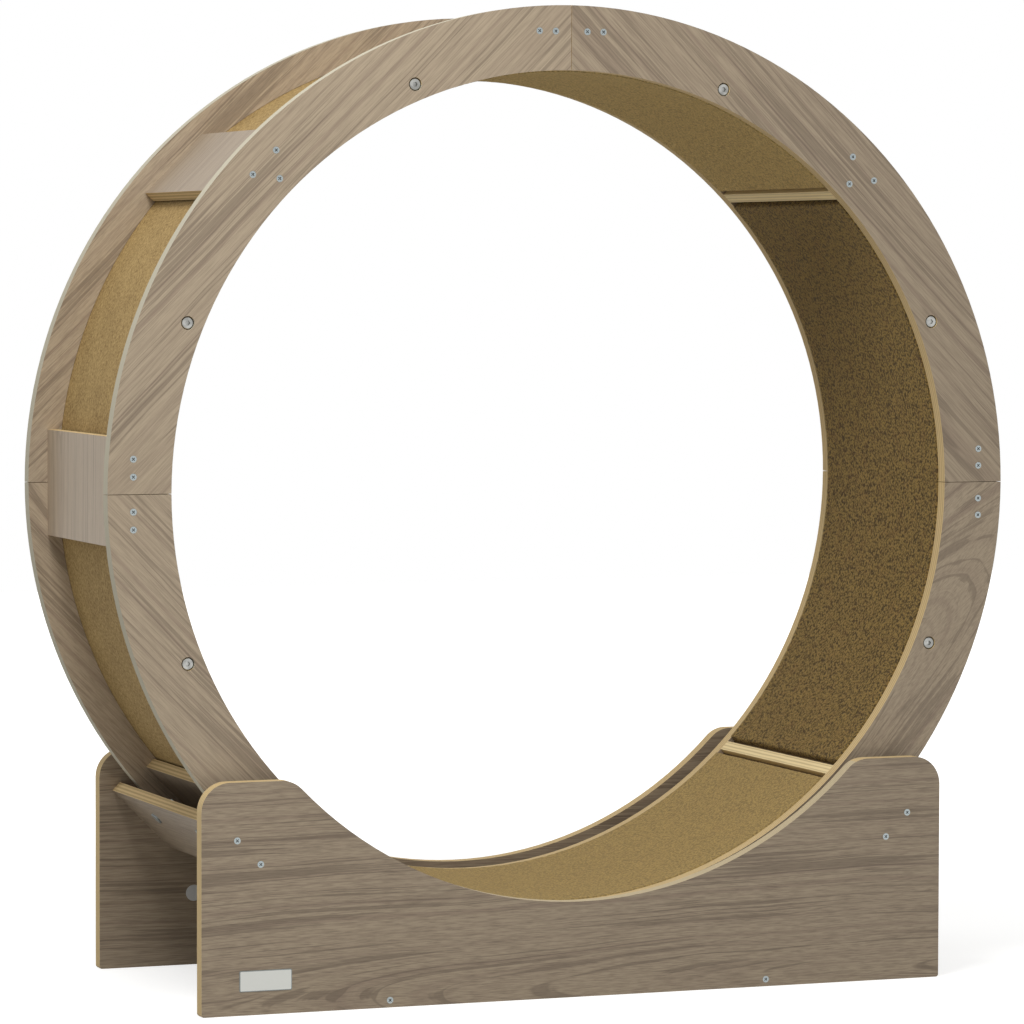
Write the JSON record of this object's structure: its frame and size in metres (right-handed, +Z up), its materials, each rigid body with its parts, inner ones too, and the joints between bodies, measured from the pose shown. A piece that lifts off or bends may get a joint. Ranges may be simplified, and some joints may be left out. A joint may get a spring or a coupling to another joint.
{
  "type": "cat exercise wheel",
  "caption": "Cat exercise wheel: an open plywood drum with a carpeted running surface, turning on grooved rollers in a low stand with curved side panels.",
  "frame": {"origin": "on the floor, under the middle of the wheel's axis", "axes": "+X to the right along the base as seen from the front, +Y to the rear along the wheel's axis, +Z up"},
  "size_m": [1, 0.3778, 1.0275],
  "materials": {
    "laminate_board": "printed wood-grain laminate, satin, with raw plywood edges",
    "raw_plywood": "raw plywood edge, lightly sanded",
    "hardboard": "bare hardboard, matt",
    "carpet": "short needled pile",
    "zinc_steel": "bright zinc plate",
    "nickel_steel": "nickel plate",
    "bracket_steel": "zinc plated sheet",
    "nylon": "turned nylon",
    "plate_metal": "printed and clear coated, bare",
    "mark_paper": "round label, semi-gloss"
  },
  "bodies": {
    "base": {"front_side_panel": "laminate_board", "rear_side_panel": "laminate_board", "left_cross_board": "laminate_board", "right_cross_board": "laminate_board", "bottom_board": "laminate_board", "front_panel_screws": "zinc_steel", "rear_panel_screws": "zinc_steel", "cross_board_bolts": "zinc_steel", "cross_board_nuts": "zinc_steel", "left_front_bracket": "bracket_steel", "left_rear_bracket": "bracket_steel", "right_front_bracket": "bracket_steel", "right_rear_bracket": "bracket_steel", "axle_bolts": "zinc_steel", "axle_nuts": "zinc_steel", "bracket_screws": "zinc_steel", "name_plate": "plate_metal", "panel_mark": "mark_paper"},
    "wheel": {"front_ring_top_right": "laminate_board", "front_ring_top_left": "laminate_board", "front_ring_bottom_left": "laminate_board", "front_ring_bottom_right": "laminate_board", "rear_ring_top_right": "laminate_board", "rear_ring_top_left": "laminate_board", "rear_ring_bottom_left": "laminate_board", "rear_ring_bottom_right": "laminate_board", "right_joint_board": "laminate_board", "top_joint_board": "laminate_board", "left_joint_board": "laminate_board", "bottom_joint_board": "laminate_board", "top_right_corner_board": "laminate_board", "top_left_corner_board": "laminate_board", "bottom_left_corner_board": "laminate_board", "bottom_right_corner_board": "laminate_board", "top_right_divider_bar": "raw_plywood", "top_left_divider_bar": "raw_plywood", "bottom_left_divider_bar": "raw_plywood", "bottom_right_divider_bar": "raw_plywood", "right_outer_skin": "hardboard", "top_outer_skin": "hardboard", "left_outer_skin": "hardboard", "bottom_outer_skin": "hardboard", "right_runway_panel": "hardboard", "top_runway_panel": "hardboard", "left_runway_panel": "hardboard", "bottom_runway_panel": "hardboard", "right_carpet": "carpet", "top_carpet": "carpet", "left_carpet": "carpet", "bottom_carpet": "carpet", "tie_rods": "zinc_steel", "front_ring_screws": "zinc_steel", "rear_ring_screws": "zinc_steel", "front_ring_bolts": "nickel_steel", "rear_ring_bolts": "nickel_steel"},
    "left_front_roller": {"left_front_roller": "nylon"},
    "left_rear_roller": {"left_rear_roller": "nylon"},
    "right_front_roller": {"right_front_roller": "nylon"},
    "right_rear_roller": {"right_rear_roller": "nylon"}
  },
  "joints": [
    {"name": "wheel_spin", "type": "hinge", "parent": "base", "child": "wheel", "pos_m": [0, 0, 0.5275], "axis": [0, 1, 0], "continuous": true},
    {"name": "left_front_roller_spin", "type": "hinge", "parent": "base", "child": "left_front_roller", "pos_m": [-0.2105, -0.147, 0.05168], "axis": [0, 1, 0], "continuous": true},
    {"name": "left_rear_roller_spin", "type": "hinge", "parent": "base", "child": "left_rear_roller", "pos_m": [-0.2105, 0.147, 0.05168], "axis": [0, 1, 0], "continuous": true},
    {"name": "right_front_roller_spin", "type": "hinge", "parent": "base", "child": "right_front_roller", "pos_m": [0.2105, -0.147, 0.05168], "axis": [0, 1, 0], "continuous": true},
    {"name": "right_rear_roller_spin", "type": "hinge", "parent": "base", "child": "right_rear_roller", "pos_m": [0.2105, 0.147, 0.05168], "axis": [0, 1, 0], "continuous": true}
  ],
  "couplings": [
    {"joint": "left_front_roller_spin", "follows": "wheel_spin", "ratio": -25},
    {"joint": "left_rear_roller_spin", "follows": "wheel_spin", "ratio": -25},
    {"joint": "right_front_roller_spin", "follows": "wheel_spin", "ratio": -25},
    {"joint": "right_rear_roller_spin", "follows": "wheel_spin", "ratio": -25}
  ]
}
